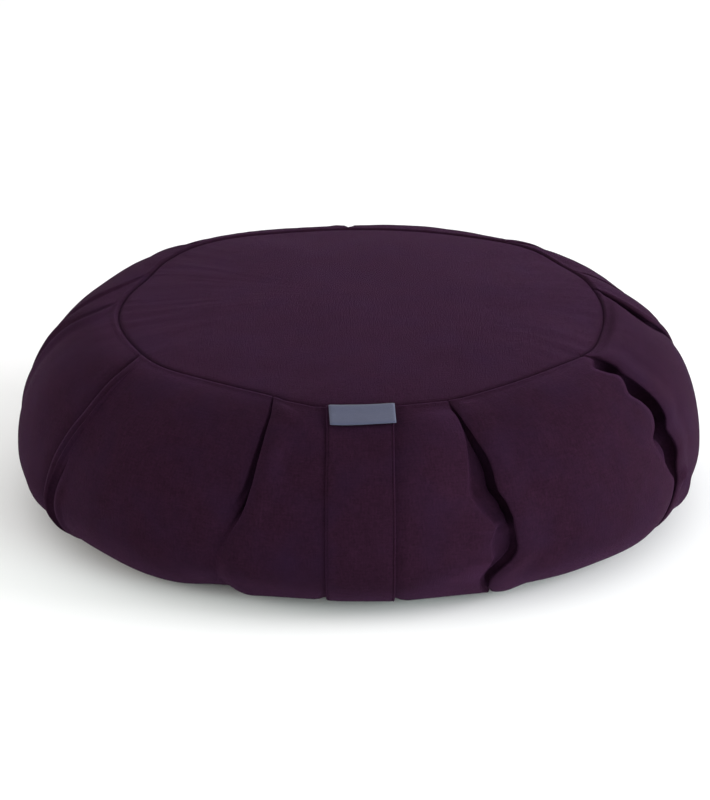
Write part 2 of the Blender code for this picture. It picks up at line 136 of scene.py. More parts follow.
# Knife pleats, in order around the body. The cloth on the right laps over the cloth on the left. The lists
# give values at the shares in places: line is the fold's angle, depth and width are the trough's on its left,
# slit is how much deeper it gets in the slit against the fold, and lip is how proud the fold stands. box is 0
# where the trough deepens softly towards the fold and 1 where it has a floor. soft is 0 where the fold has a
# crisp nose and 1 where it is only a soft rise. reach is how far the proud fold takes to fade, wobble is how
# far the fold strays, and gap is the slit's width.
SHARES = (0.0, 0.08, 0.17, 0.27, 0.37, 0.47, 0.57, 0.66, 0.76, 1.0)
Pleat = namedtuple("Pleat", "name reach wobble gap places line depth slit width lip box soft")
PLEAT_CURVES = ("line", "depth", "slit", "width", "lip", "box", "soft")
PLEATS = (
    Pleat("back", 14, 0.8, 3.0, SHARES,
          line=(-178, -176.5, -174.8, -173.8, -173, -172.3, -172, -172.5, -173, -174),
          depth=(0.6, 1.5, 2.8, 4, 5, 5, 5, 4.6, 4, 2),
          slit=(0.2, 0.4, 0.8, 1.2, 1.5, 1.5, 1.5, 1.4, 1.2, 0.6),
          width=(4, 7, 11, 14, 16, 16, 16, 14, 12, 6),
          lip=(0.2, 0.5, 0.9, 1.5, 2, 2, 2, 2, 2, 0.5),
          box=(0.4, 0.4, 0.4, 0.4, 0.4, 0.4, 0.4, 0.4, 0.4, 0.4),
          soft=(0, 0, 0, 0, 0, 0, 0, 0, 0, 0)),
    Pleat("back left", 14, 0.8, 3.0, SHARES,
          line=(-138, -136, -133.5, -132, -131, -130, -129, -129, -129, -130),
          depth=(1.5, 3, 4, 4.6, 5, 5, 5, 4.6, 4, 2),
          slit=(0.4, 0.9, 1.2, 1.4, 1.5, 1.5, 1.5, 1.4, 1.2, 0.6),
          width=(4, 7, 11, 14, 16, 17, 18, 16, 14, 6),
          lip=(0.3, 0.8, 1.3, 1.6, 1.8, 1.8, 1.8, 1.7, 1.5, 0.5),
          box=(0.4, 0.4, 0.4, 0.4, 0.4, 0.4, 0.4, 0.4, 0.4, 0.4),
          soft=(0, 0, 0, 0, 0, 0, 0, 0, 0, 0)),
    Pleat("left tuck", 8, 0.5, 3.0, SHARES,
          line=(-114.5, -103.5, -99, -97, -97, -98.5, -98.5, -98.5, -98.5, -99),
          depth=(1.5, 3.5, 3, 1.8, 0.8, 0.5, 0.5, 0.5, 0.5, 0.5),
          slit=(0.4, 1.1, 0.9, 0.5, 0.2, 0.1, 0.1, 0.1, 0.1, 0.1),
          width=(4, 8, 8, 7, 6, 5, 5, 5, 5, 5),
          lip=(0.5, 1.8, 1.6, 1, 0.5, 0.3, 0.3, 0.3, 0.3, 0.3),
          box=(0.3, 0.3, 0.3, 0.3, 0.3, 0.3, 0.3, 0.3, 0.3, 0.3),
          soft=(0, 0, 0, 0, 0, 0, 0, 0, 0, 0)),
    Pleat("left", 14, 0.4, 3.0, SHARES,
          line=(-94, -88.4, -87.8, -88, -89, -90, -91, -91, -91, -91),
          depth=(1.5, 3, 4.5, 5, 5, 4.5, 4.5, 4, 3.5, 2),
          slit=(0.4, 0.9, 1.3, 1.5, 1.5, 1.3, 1.3, 1.2, 1.1, 0.6),
          width=(4, 8, 11, 13, 14, 14, 14, 13, 12, 6),
          lip=(0.5, 1.2, 1.8, 2, 1.8, 1.6, 1.5, 1.3, 1.2, 0.5),
          box=(0.3, 0.3, 0.3, 0.3, 0.3, 0.3, 0.3, 0.3, 0.3, 0.3),
          soft=(0, 0, 0, 0, 0, 0, 0, 0, 0, 0)),
    Pleat("front left", 7, 0.3, 3.0, SHARES,
          line=(-59.3, -56.2, -55.4, -55.6, -57.4, -59.5, -61.1, -61.9, -61.8, -59.5),
          depth=(1.2, 2.2, 2.8, 3, 3.2, 3.5, 4, 4.5, 4.5, 2),
          slit=(0.4, 0.8, 1.1, 1.2, 1.3, 1.5, 1.6, 1.5, 1.3, 0.6),
          width=(4, 9, 13, 15, 16, 16, 16, 14, 12, 6),
          lip=(0.5, 0.9, 1.1, 1.2, 1.3, 1.3, 1.4, 1.5, 1.5, 0.5),
          box=(0.1, 0.1, 0.1, 0.1, 0.1, 0.1, 0.1, 0.1, 0.1, 0.1),
          soft=(0, 0, 0, 0, 0, 0, 0, 0, 0, 0.3)),
    Pleat("front left pocket", 9, 0.0, 3.0, SHARES,
          line=(-55.5, -52.5, -51.3, -51.3, -53, -55.3, -57.2, -57.8, -58.3, -56),
          depth=(0, 0, 0, 0, 0, 0.6, 7, 10, 7, 1),
          slit=(0, 0, 0, 0, 0, 0.3, 3.5, 5, 3.5, 0.5),
          width=(4, 4, 4, 4, 4, 4, 6, 6.5, 4, 4),
          lip=(0, 0, 0, 0, 0, 0.2, 0.9, 1.2, 1.2, 0.2),
          box=(0.2, 0.2, 0.2, 0.2, 0.2, 0.2, 0.2, 0.2, 0.2, 0.2),
          soft=(0, 0, 0, 0, 0, 0, 0, 0, 0, 0)),
    Pleat("left of strap", 18, 0.3, 2.4, SHARES,
          line=(-19.5, -17.9, -17.3, -17.1, -17.5, -19.3, -21.6, -22.5, -22.8, -19.5),
          depth=(1, 3, 6, 7, 7, 4.2, 3, 2.4, 2, 1),
          slit=(1, 4, 9, 14, 14, 3, 0, 0, 0, 0),
          width=(1.5, 1.8, 2.8, 4.2, 5.6, 8, 10, 12, 12, 6),
          lip=(0.5, 1.2, 1.6, 2, 2, 1.4, 0.8, 0.4, 0.4, 0.4),
          box=(0.1, 0.3, 0.7, 0.9, 0.9, 0.3, 0.1, 0.1, 0.1, 0.2),
          soft=(0, 0, 0, 0, 0, 0.7, 1, 1, 1, 1)),
    Pleat("right of strap", 20, 0.4, 1.4,
          places=(0, 0.06, 0.14, 0.20, 0.27, 0.33, 0.38, 0.42, 0.45, 0.48, 0.51, 0.55, 0.59, 0.62, 0.65, 0.69,
                  0.74, 0.78, 0.82, 1),
          line=(19.1, 19.3, 19.9, 20.5, 21.7, 22.0, 22.3, 23.3, 23.8, 24.1, 24.2, 24.4, 24.5, 23.7, 22.3,
                20.9, 20.9, 22.0, 24.0, 25),
          depth=(1, 2, 3.5, 6, 8, 8.8, 9, 9, 8.5, 7, 4.5, 6, 6.5, 6, 5, 4.5, 4, 3, 3, 1.5),
          slit=(1, 2.5, 5, 7, 9, 10, 10, 10, 9, 7, 1, 0.6, 0.8, 1.2, 2, 3, 3, 2, 2, 0.5),
          width=(1.5, 1.8, 2.6, 5.5, 12, 15.5, 17.5, 18.5, 17, 13.5, 12, 16, 16, 12, 9.5, 7, 5, 5, 5, 4),
          lip=(0.5, 0.9, 1.5, 1.7, 1.8, 1.8, 1.8, 1.8, 1.8, 1.8, 1.7, 1.6, 1.5, 1.4, 1.3, 1.2, 1.2, 1.2,
               1.2, 0.8),
          box=(0.3, 0.4, 0.6, 0.9, 1, 1, 1, 1, 1, 1, 1, 1, 1, 1, 1, 0.9, 0.8, 0.8, 0.8, 0.5),
          soft=(0, 0, 0, 0, 0, 0, 0, 0, 0, 0, 0, 0, 0, 0, 0, 0, 0, 0, 0, 0)),
    Pleat("front right", 22, 0.3, 5.0,
          places=(0, 0.04, 0.08, 0.12, 0.155, 0.185, 0.22, 0.27, 0.32, 0.36, 0.39, 0.43, 0.48, 0.53, 0.57,
                  0.62, 0.66, 0.76, 1),
          line=(59.5, 60.2, 60.6, 60.9, 60.4, 61.0, 61.8, 63.0, 63.8, 63.8, 62.6, 63.5, 64.4, 63.4, 63.4,
                62.6, 61.4, 60, 59),
          depth=(1, 1.2, 7, 7, 3, 8, 12, 13, 13, 13, 11, 8, 6, 4, 2, 3, 5, 4, 2),
          slit=(1, 1, 4, 4, 1.5, 4, 6, 7, 7, 7, 6, 4, 4, 3, 1.5, 2, 4, 3, 1),
          width=(2.5, 3.2, 12.5, 11, 4.5, 8, 14, 13, 13, 16, 18, 20, 19, 11, 5, 4.5, 4, 3.5, 3),
          lip=(0.4, 0.8, 1.2, 1.3, 1.3, 1.3, 1.3, 1.3, 1.3, 1.3, 1.3, 1.3, 1.3, 1.3, 1.3, 1.3, 1.3, 1.2, 0.5),
          box=(0.5, 0.8, 1, 1, 0.8, 1, 1, 1, 1, 1, 1, 1, 1, 1, 0.8, 1, 1, 1, 0.5),
          soft=(0, 0, 0, 0, 0, 0, 0, 0, 0, 0, 0, 0, 0, 0, 0, 0, 0, 0, 0)),
    Pleat("right", 11, 0.5, 3.0, SHARES,
          line=(104.7, 96.2, 92.5, 96, 99, 100, 100, 99.5, 99, 97),
          depth=(1.2, 3.6, 4.4, 4, 3, 3, 3, 3, 2.5, 1.5),
          slit=(1, 5, 6, 4.5, 2, 1.5, 1.5, 1.5, 1, 0.5),
          width=(3, 10, 13, 12, 12, 12, 13, 13, 12, 6),
          lip=(0.4, 1.2, 1.5, 1.5, 1.5, 1.5, 1.5, 1.5, 1.5, 0.5),
          box=(0.8, 0.8, 0.8, 0.8, 0.8, 0.8, 0.8, 0.8, 0.8, 0.8),
          soft=(0, 0, 0, 0, 0, 0, 0, 0, 0, 0)),
    Pleat("right tuck", 8, 0.4, 3.0, SHARES,
          line=(117, 113, 110, 109, 109, 109, 109, 109, 109, 109),
          depth=(0.3, 0.5, 0.5, 0.4, 0.4, 0.4, 0.4, 0.4, 0.4, 0.4),
          slit=(0, 0, 0, 0, 0, 0, 0, 0, 0, 0),
          width=(4, 7, 6, 5, 5, 5, 5, 5, 5, 5),
          lip=(0.2, 0.5, 0.4, 0.3, 0.3, 0.3, 0.3, 0.3, 0.3, 0.3),
          box=(0.3, 0.3, 0.3, 0.3, 0.3, 0.3, 0.3, 0.3, 0.3, 0.3),
          soft=(0, 0, 0, 0, 0, 0, 0, 0, 0, 0)),
    Pleat("back right", 14, 0.8, 3.0, SHARES,
          line=(142, 139, 136, 134.5, 133, 132.5, 132, 132, 132, 133),
          depth=(1.5, 3, 4, 4.6, 5, 5, 5, 4.6, 4, 2),
          slit=(0.4, 0.9, 1.2, 1.4, 1.5, 1.5, 1.5, 1.4, 1.2, 0.6),
          width=(4, 7, 11, 14, 16, 17, 18, 16, 14, 6),
          lip=(0.3, 0.8, 1.3, 1.6, 1.8, 1.8, 1.8, 1.7, 1.5, 0.5),
          box=(0.4, 0.4, 0.4, 0.4, 0.4, 0.4, 0.4, 0.4, 0.4, 0.4),
          soft=(0, 0, 0, 0, 0, 0, 0, 0, 0, 0)),
)

# The trough, from its left edge to the fold: first across its floor, then across the slit against the fold.
# floor_in and slit_in are how much of the floor's depth and of the slit's has been reached.
Trough = namedtuple("Trough", "floor slit floor_in slit_in")
TROUGH = (
    Trough(0.00, 0.00, 0.00, 0.00),
    Trough(0.10, 0.00, 0.24, 0.00),
    Trough(0.24, 0.00, 0.64, 0.00),
    Trough(0.42, 0.00, 0.86, 0.00),
    Trough(0.64, 0.00, 0.95, 0.00),
    Trough(0.88, 0.00, 1.00, 0.02),
    Trough(1.00, 0.15, 1.00, 0.16),
    Trough(1.00, 0.45, 1.00, 0.62),
    Trough(1.00, 0.75, 1.00, 0.96),
)
SOFT_TROUGH_POWER = 2.2  # a soft trough deepens with this power of the way across

# Stations from under the fold, around its nose and on over the panel it belongs to. overlap counts hidden
# laps, nose counts widths of the nose, and reach what is left of the pleat's reach. floor_in and slit_in
# count the trough's depths, flap the fold's thickness, and lip how proud it stands.
Station = namedtuple("Station", "overlap nose reach floor_in slit_in flap lip")
FOLD = (
    Station(0.30, -0.22, 0.00, 1.00, 1.06, 0.00, 0.00),
    Station(0.75, -0.15, 0.00, 1.00, 1.08, 0.00, 0.00),
    Station(1.08, -0.05, 0.00, 0.90, 0.92, 0.00, 0.00),
    Station(1.15, 0.02, 0.00, 0.60, 0.60, 0.20, 0.00),
    Station(1.00, 0.07, 0.00, 0.28, 0.28, 0.60, 0.02),
    Station(0.68, 0.11, 0.00, 0.07, 0.07, 1.00, 0.06),
    Station(0.30, 0.16, 0.00, 0.00, 0.00, 1.00, 0.12),
    Station(0.02, 0.20, 0.00, 0.00, 0.00, 0.80, 0.20),
    Station(-0.08, 0.26, 0.00, 0.00, 0.00, 0.42, 0.30),
    Station(-0.09, 0.42, 0.00, 0.00, 0.00, 0.10, 0.44),
    Station(0.00, 0.70, 0.00, 0.00, 0.00, 0.00, 0.56),
    Station(0.00, 1.00, 0.00, 0.00, 0.00, 0.00, 0.66),
    Station(0.00, 1.00, 0.09, 0.00, 0.00, 0.00, 0.86),
    Station(0.00, 1.00, 0.22, 0.00, 0.00, 0.00, 1.00),
    Station(0.00, 1.00, 0.40, 0.00, 0.00, 0.00, 0.86),
    Station(0.00, 1.00, 0.60, 0.00, 0.00, 0.00, 0.50),
    Station(0.00, 1.00, 0.80, 0.00, 0.00, 0.00, 0.16),
    Station(0.00, 1.00, 1.00, 0.00, 0.00, 0.00, 0.00),
)
OVERLAP_OF_DEPTH = 0.42
FLAP_OF_DEPTH = 0.25
THICKEST_FLAP = 1.3
NOSE_WIDTH = 1.8
SOFT_NOSE_WIDTH = 8.0
WIDE_PANEL_STEPS = 22
NARROW_PANEL_STEPS = 5
NARROW_PANELS = ("left tuck", "right tuck", "right", "front left")
BED_EDGES = (-25.0, -22.0, -19.6, -18.9, 18.9, 19.6, 22.0, 26.0)  # places across where the strap's bed bends
BED_MIDDLES = (-15.0, -10.0, -5.0, 0.0, 5.0, 10.0, 15.0)

# Lumps and dents besides the pleats. along and across are the sizes down and around the side, turn leans the
# lump's top to the right in degrees, and height is negative for a dent.
Lump = namedtuple("Lump", "angle share along across turn height")
LUMPS = (
    Lump(0.5, 0.17, 20, 34, 0, -6.0),      # the front is drawn in under the label
    Lump(22.0, 0.490, 1.6, 5.0, -20, 1.8),  # the small crease across the trough right of the strap
    Lump(22.3, 0.512, 1.5, 5.0, -20, -2.2),
    Lump(21.9, 0.565, 7, 4, 0, 1.6),       # the pouch under it
    Lump(17.4, 0.055, 3.0, 5, -25, -1.3),  # the gather at the seam left of that pleat
    Lump(16.2, 0.115, 3.0, 7, -25, 0.8),
    Lump(-25.0, 0.80, 12, 10, 0, -2.5),    # the dent at the foot of the pleat left of the strap
    Lump(-14.9, 0.30, 26, 3.2, 4, 1.3),    # the crest beside that pleat, the hollow beside the crest, and
    Lump(-12.3, 0.26, 15, 3.4, -4, -1.1),  # the drag of the cloth from the seam to the strap
    Lump(-9.4, 0.13, 16, 3.6, -52, 0.9),
    Lump(-8.0, 0.50, 26, 5.0, -6, -0.9),
    Lump(65.6, 0.580, 2.4, 4, -30, 2.6),   # the curl at the foot of the front right trough
    Lump(66.0, 0.605, 2.0, 4, -30, -2.0),
    Lump(12.5, 0.66, 14, 5, 30, -1.6),     # the soft crease beside the strap
    Lump(-60.0, 0.72, 14, 26, 0, 3.4),     # the cloth sags fuller low on the left, the right and by the strap
    Lump(-69.0, 0.69, 10, 9, 0, 1.8),
    Lump(-36.0, 0.80, 12, 30, 0, 2.8),
    Lump(-19.0, 0.82, 8, 12, 0, 1.8),
    Lump(69.0, 0.69, 9, 8, 0, 3.6),
    Lump(56.0, 0.75, 14, 30, 0, 3.4),
    Lump(22.0, 0.82, 12, 26, 0, 3.2),
    Lump(79.0, 0.012, 3.0, 30, 0, -3.0),   # the seam gapes a little between the two right pleats
    Lump(109.0, 0.03, 5, 10, 0, 1.2),      # the cloth puckers beside the right pleat
    Lump(123.0, 0.03, 6, 12, 0, -1.4),
    Lump(112.0, 0.20, 28, 50, 0, -2.8),    # and hangs in a little high on the right and along the back
    Lump(180.0, 0.03, 26, 150, 0, -1.4),
)

# How much the cloth puckers where it is gathered into the top seam: the height of the puckers in the top
# panel and in the side, and how far they run into the top panel.
Pucker = namedtuple("Pucker", "angle top side reach")
PUCKERS = (
    Pucker(-180, 0.22, 0.45, 18),
    Pucker(-138, 0.40, 0.55, 22),
    Pucker(-112, 0.70, 0.60, 42),
    Pucker(-85, 0.75, 0.55, 48),
    Pucker(-62, 0.35, 0.35, 30),
    Pucker(-40, 0.16, 0.30, 16),
    Pucker(0, 0.12, 0.18, 14),
    Pucker(40, 0.20, 0.25, 18),
    Pucker(62, 0.42, 0.32, 34),
    Pucker(90, 0.30, 0.40, 24),
    Pucker(130, 0.25, 0.50, 20),
    Pucker(180, 0.22, 0.45, 18),
)


def smooth_curve(places, values, wanted):
    """Values on a smooth curve through the given ones, with the slope at each place from its neighbours."""
    places = np.asarray(places, float)
    values = np.asarray(values, float)
    slopes = np.gradient(values, places)
    index = np.clip(np.searchsorted(places, wanted, side="right") - 1, 0, len(places) - 2)
    step = places[index + 1] - places[index]
    t = (wanted - places[index]) / step
    start = (1 + 2 * t) * (1 - t) ** 2 * values[index] + t * (1 - t) ** 2 * step * slopes[index]
    end = t**2 * (3 - 2 * t) * values[index + 1] + t**2 * (t - 1) * step * slopes[index + 1]
    return start + end


def ease(value, low, high):
    """0 below low, 1 above high, and a soft step between them."""
    t = np.clip((value - low) / (high - low), 0, 1)
    return t * t * (3 - 2 * t)


def noise_at(x, y, z):
    """Smooth noise between -1 and 1 at arrays of places."""
    x, y, z = np.broadcast_arrays(x, y, z)
    values = [noise.noise(Vector(place)) for place in zip(x.ravel(), y.ravel(), z.ravel())]
    return np.array(values).reshape(x.shape)


def seam_radius(angle):
    """The top seam's radius at an angle in degrees."""
    knots = [point.angle for point in SEAM]
    radii = [point.radius for point in SEAM]
    angles = [knots[-2] - 360, knots[-1] - 360, *knots, knots[0] + 360, knots[1] + 360]
    values = [radii[-2], radii[-1], *radii, radii[0], radii[1]]
    turned = (np.asarray(angle, float) - knots[0]) % 360 + knots[0]
    return smooth_curve(angles, values, turned)


def side_lengths():
    """Shares down the side and the two quarter turns they belong to, by the length of the cloth."""
    turn = np.linspace(0, np.pi, 361)
    upper = turn < np.pi / 2
    low_turn = turn - np.pi / 2
    r = np.where(upper, TOP_SEAM_RADIUS + (WIDEST_RADIUS - TOP_SEAM_RADIUS) * np.sin(turn),
                 BASE_RADIUS + (WIDEST_RADIUS - BASE_RADIUS) * np.cos(low_turn))
    z = np.where(upper, WIDEST_HEIGHT + (TOP_SEAM_HEIGHT - WIDEST_HEIGHT) * np.cos(turn),
                 WIDEST_HEIGHT - WIDEST_HEIGHT * np.sin(low_turn))
    length = np.concatenate([[0], np.cumsum(np.hypot(np.diff(r), np.diff(z)))])
    return length / length[-1], turn, length[-1]


SHARE_OF_TURN, TURNS, SIDE_LENGTH = side_lengths()


def side_section(angle, share):
    """Radius, height and outward normal (radial, up) of the plain side, before pleats and lean."""
    turn = np.interp(share, SHARE_OF_TURN, TURNS)
    upper = turn < np.pi / 2
    low_turn = turn - np.pi / 2
    top = seam_radius(angle)
    r = np.where(upper, top + (WIDEST_RADIUS - top) * np.sin(turn),
                 BASE_RADIUS + (WIDEST_RADIUS - BASE_RADIUS) * np.cos(low_turn))
    rise = TOP_SEAM_HEIGHT - WIDEST_HEIGHT
    z = np.where(upper, WIDEST_HEIGHT + rise * np.cos(turn), WIDEST_HEIGHT * (1 - np.sin(low_turn)))
    out = np.where(upper, rise * np.sin(turn), WIDEST_HEIGHT * np.cos(low_turn))
    up = np.where(upper, (WIDEST_RADIUS - top) * np.cos(turn),
                  -(WIDEST_RADIUS - BASE_RADIUS) * np.sin(low_turn))
    size = np.hypot(out, up)
    return r, z, out / size, up / size


def lumps(angle, share):
    """How far the lumps and dents move the cloth out."""
    total = np.zeros(np.broadcast(angle, share).shape)
    radius = side_section(angle, share)[0]
    for lump in LUMPS:
        across = np.radians((angle - lump.angle + 180) % 360 - 180) * radius
        down = (share - lump.share) * SIDE_LENGTH
        turn = np.radians(lump.turn)
        u = across * np.cos(turn) + down * np.sin(turn)
        v = down * np.cos(turn) - across * np.sin(turn)
        total = total + lump.height * np.exp(-0.5 * ((u / lump.across) ** 2 + (v / lump.along) ** 2))
    return total


def strap_bed(angle, share):
    """The strap presses a hollow into the side, as deep as its own thickness where it reaches the floor."""
    across = np.abs(np.radians(angle - STRAP_ANGLE)) * side_section(angle, share)[0]
    beside = 1 - ease(across, STRAP_WIDTH / 2 + 0.3, STRAP_WIDTH / 2 + 5.5)
    depth = STRAP_BED + (STRAP_THICKNESS + 0.6 - STRAP_BED) * ease(share, 0.72, 0.92)
    return -depth * beside * ease(share, 0.0, 0.06)


def seam_drop(distance):
    """How far the cloth dips at a distance from a seam."""
    return SEAM_DEPTH * np.exp(-distance / SEAM_WIDTH)


def seam_roll(distance):
    """How far the side stands out over the seam's folded allowance, just below the top seam."""
    return SEAM_ROLL * np.exp(-((distance - SEAM_ROLL_DISTANCE) / SEAM_ROLL_WIDTH) ** 2)


def pucker(angle, column):
    """A value of the pucker table at an angle."""
    turned = (np.asarray(angle, float) + 180) % 360 - 180
    return np.interp(turned, [row.angle for row in PUCKERS], [getattr(row, column) for row in PUCKERS])


def side_wrinkles(angle, share):
    """The small unevenness of the side: soft waves, and puckers that fade away from both seams."""
    r, z, _, _ = side_section(angle, share)
    turn = np.radians(angle)
    x = r * np.sin(turn)
    y = -r * np.cos(turn)
    broad = noise_at(x / 62, y / 62, z / 62 + 3.1) * 0.9
    middling = noise_at(x / 24, y / 24, z / 30 + 8.7) * 0.42
    top_distance = share * SIDE_LENGTH
    bottom_distance = (1 - share) * SIDE_LENGTH
    gathers = noise_at(angle * 0.34, share * 2.4, 5.3) + 0.5 * noise_at(angle * 0.8, share * 5.0, 9.1)
    held = np.exp(-top_distance / 17) * ease(top_distance, 0, 4) + 0.8 * np.exp(-bottom_distance / 16)
    calm = ease(share, 0.0, 0.12) * (1 - ease(share, 0.85, 1.0))
    return (broad + middling) * calm + gathers * pucker(angle, "side") * held


def top_wrinkles(angle, distance):
    """The small unevenness of the top panel at a distance in from its seam."""
    r = TOP_SEAM_RADIUS - distance
    turn = np.radians(angle)
    x = r * np.sin(turn)
    y = -r * np.cos(turn)
    broad = noise_at(x / 55, y / 55, 1.7) * 0.7 + noise_at(x / 21, y / 21, 4.4) * 0.16
    streaks = noise_at(angle * 0.30, distance * 0.015, 2.9)
    streaks = streaks + 0.6 * noise_at(angle * 0.66, distance * 0.03, 6.2)
    held = np.exp(-distance / pucker(angle, "reach")) * ease(distance, 0, 5)
    return broad * ease(distance, 0, 25) + streaks * pucker(angle, "top") * held


def placed(angle, share, out):
    """World points of places on the side, moved out by a distance along the plain side's normal."""
    r, z, radial, up = side_section(angle, share)
    r = r + out * radial
    z = z + out * up
    turn = np.radians(angle)
    x = r * np.sin(turn)
    y = -r * np.cos(turn)
    z = np.maximum(z * (1 + LEAN * y), 0.0)
    return np.stack([x + CENTRE_X, y + CENTRE_Y, z], axis=-1)


def pleat_section(pleat, number, share, growth):
    """Places across a pleat in mm from its fold, and outward moves there, at one share."""
    values = [float(smooth_curve(pleat.places, getattr(pleat, name), share)) for name in PLEAT_CURVES]
    line, depth, slit, width, lip, box, soft = values
    size = 0.25 + 0.75 * growth
    uneven = 1 + 0.16 * noise.noise(Vector((share * 12, number * 2.3, 7.7)))
    depth = max(depth, 0.0) * size * uneven
    slit = max(slit, 0.0) * size * (1 - soft)
    width = max(width, 1.0)
    lip = lip * size
    soft = min(max(soft, 0.0), 1.0)
    gap = min(pleat.gap, 0.5 * width)
    overlap = OVERLAP_OF_DEPTH * (depth + slit) * growth * (1 - soft)
    flap = min(FLAP_OF_DEPTH * (depth + slit), THICKEST_FLAP) * (1 - soft)
    spread = 0.4 + 0.6 * growth
    nose = (NOSE_WIDTH + (SOFT_NOSE_WIDTH - NOSE_WIDTH) * soft) * spread
    reach = pleat.reach * spread - nose
    section = []
    for row in TROUGH:
        across = -(1 - row.floor) * (width - gap) - (1 - row.slit) * gap - 0.25 * nose * row.slit
        part = min(max(1 + across / width, 0.0), 1.0)
        soft_in = part ** SOFT_TROUGH_POWER * (1 - soft) + float(ease(part, 0.0, 1.0)) * soft
        floor_in = soft_in + (row.floor_in - soft_in) * box
        section.append((across, -depth * floor_in - slit * row.slit_in))
    for row in FOLD:
        across = row.overlap * overlap + row.nose * nose + row.reach * reach
        soft_in = 1 - float(ease(row.nose, -0.3, 1.0))
        floor_in = row.floor_in + (soft_in - row.floor_in) * soft
        section.append((across, lip * row.lip - depth * floor_in - slit * row.slit_in - flap * row.flap))
    return line, section


def columns_at(share):
    """Angle and outward move of every mesh column at one share, pleat by pleat and panel by panel."""
    radius = float(side_section(0.0, share)[0])
    degrees_per_mm = 1 / np.radians(radius)
    growth = float(ease(share, 0.0, 0.06) * (1 - 0.7 * ease(share, 0.9, 1.0)))
    sections = []
    for number, pleat in enumerate(PLEATS):
        line, section = pleat_section(pleat, number, share, growth)
        stray = noise.noise(Vector((share * 9, number * 3.7, 0.5)))
        stray += 0.5 * noise.noise(Vector((share * 23, number * 5.1, 2.5)))
        stray += 0.3 * noise.noise(Vector((share * 52, number * 4.3, 6.1)))
        line = line + pleat.wobble * stray * growth * degrees_per_mm
        sections.append([(line + across * degrees_per_mm, move) for across, move in section])
    angles, moves = [], []
    bulge = PANEL_BULGE * ease(share, 0.0, 0.3) * (1 - ease(share, 0.75, 1.0))
    for number, section in enumerate(sections):
        angles.extend(place[0] for place in section)
        moves.extend(place[1] for place in section)
        end = section[-1][0]
        after = sections[number + 1][0][0] if number + 1 < len(PLEATS) else sections[0][0][0] + 360
        if PLEATS[number].name == "left of strap":
            inner = [STRAP_ANGLE + across * degrees_per_mm for across in sorted(BED_EDGES + BED_MIDDLES)]
        else:
            steps = NARROW_PANEL_STEPS if PLEATS[number].name in NARROW_PANELS else WIDE_PANEL_STEPS
            inner = np.linspace(end, after, steps + 2)[1:-1]
        for angle in inner:
            part = (angle - end) / (after - end)
            angles.append(angle)
            moves.append(bulge * 4 * part * (1 - part))
    return np.array(angles), np.array(moves)


def cloth_move(angle, share, move):
    """The whole outward move of the side's cloth, from the move that the pleats and panels give."""
    distance = np.minimum(share, 1 - share) * SIDE_LENGTH
    dip = np.where(share < 0.5, seam_drop(distance) - seam_roll(distance), 0.5 * seam_drop(distance))
    return move + lumps(angle, share) + strap_bed(angle, share) + side_wrinkles(angle, share) - dip


def growing(first, last, end):
    """Distances from 0 up to end, in steps that grow from first to last."""
    distances = [0.0]
    step = first
    while distances[-1] + step < end:
        distances.append(distances[-1] + step)
        step = min(step * 1.32, last)
    return distances


def side_shares():
    """The shares of the mesh rows down the side, close together at both seams."""
    upper = growing(0.3, 1.35, SIDE_LENGTH * 0.93)
    lower = [SIDE_LENGTH - distance for distance in growing(0.5, 2.0, SIDE_LENGTH * 0.06)]
    return np.array(upper + lower[::-1]) / SIDE_LENGTH


def side_rows():
    """Angles, shares and points of the rows down the side."""
    shares = side_shares()
    columns = [columns_at(share) for share in shares]
    angles = np.array([row[0] for row in columns])
    moves = np.array([row[1] for row in columns])
    share_grid = np.repeat(shares[:, None], angles.shape[1], axis=1)
    moves = cloth_move(angles, share_grid, moves)
    return angles, share_grid, placed(angles, share_grid, moves)


def even_angles(angles):
    """Angles spread evenly, in step with the given ones."""
    return angles[0] + np.arange(len(angles)) * 360.0 / len(angles)


def top_rows(seam_angles, seam_points):
    """Points of the rows of the top panel, from its middle out to the seam."""
    distances = np.array(growing(0.3, 5.0, TOP_SEAM_RADIUS * 0.97)[1:])[::-1]
    inner = 1 - distances / TOP_SEAM_RADIUS
    even = even_angles(seam_angles)
    angles = even + (seam_angles - even) * inner[:, None] ** 2
    reach = inner[:, None] * seam_radius(angles)
    turn = np.radians(angles)
    x = reach * np.sin(turn)
    y = -reach * np.cos(turn)
    lumped = lumps(seam_angles, np.zeros(len(seam_angles))) * inner[:, None] ** 6
    z = TOP_SEAM_HEIGHT + CROWN * (1 - inner[:, None] ** 2) + lumped - seam_drop(distances)[:, None]
    z = (z + top_wrinkles(angles, distances[:, None])) * (1 + LEAN * y)
    points = np.stack([x + CENTRE_X, y + CENTRE_Y, z], axis=-1)
    near = np.exp(-distances / 1.2)[:, None]
    level = seam_points[:, 2] + points[..., 2] - points[-1, :, 2]
    points[..., 2] = points[..., 2] * (1 - near) + level * near
    return points


# Rings of the underside, from the bottom seam inwards. blend is how evenly the columns are spread out.
BaseRing = namedtuple("BaseRing", "radius height blend")
BASE_RINGS = (
    BaseRing(BOTTOM_SEAM_RADIUS, BOTTOM_SEAM_HEIGHT, 0.0),
    BaseRing(BOTTOM_SEAM_RADIUS - 1.2, 1.2, 0.0),
    BaseRing(BOTTOM_SEAM_RADIUS - 3.5, 0.15, 0.1),
    BaseRing(BOTTOM_SEAM_RADIUS - 8.0, 0.0, 0.3),
    BaseRing(110.0, 0.0, 0.7),
    BaseRing(70.0, 0.0, 1.0),
    BaseRing(30.0, 0.0, 1.0),
)


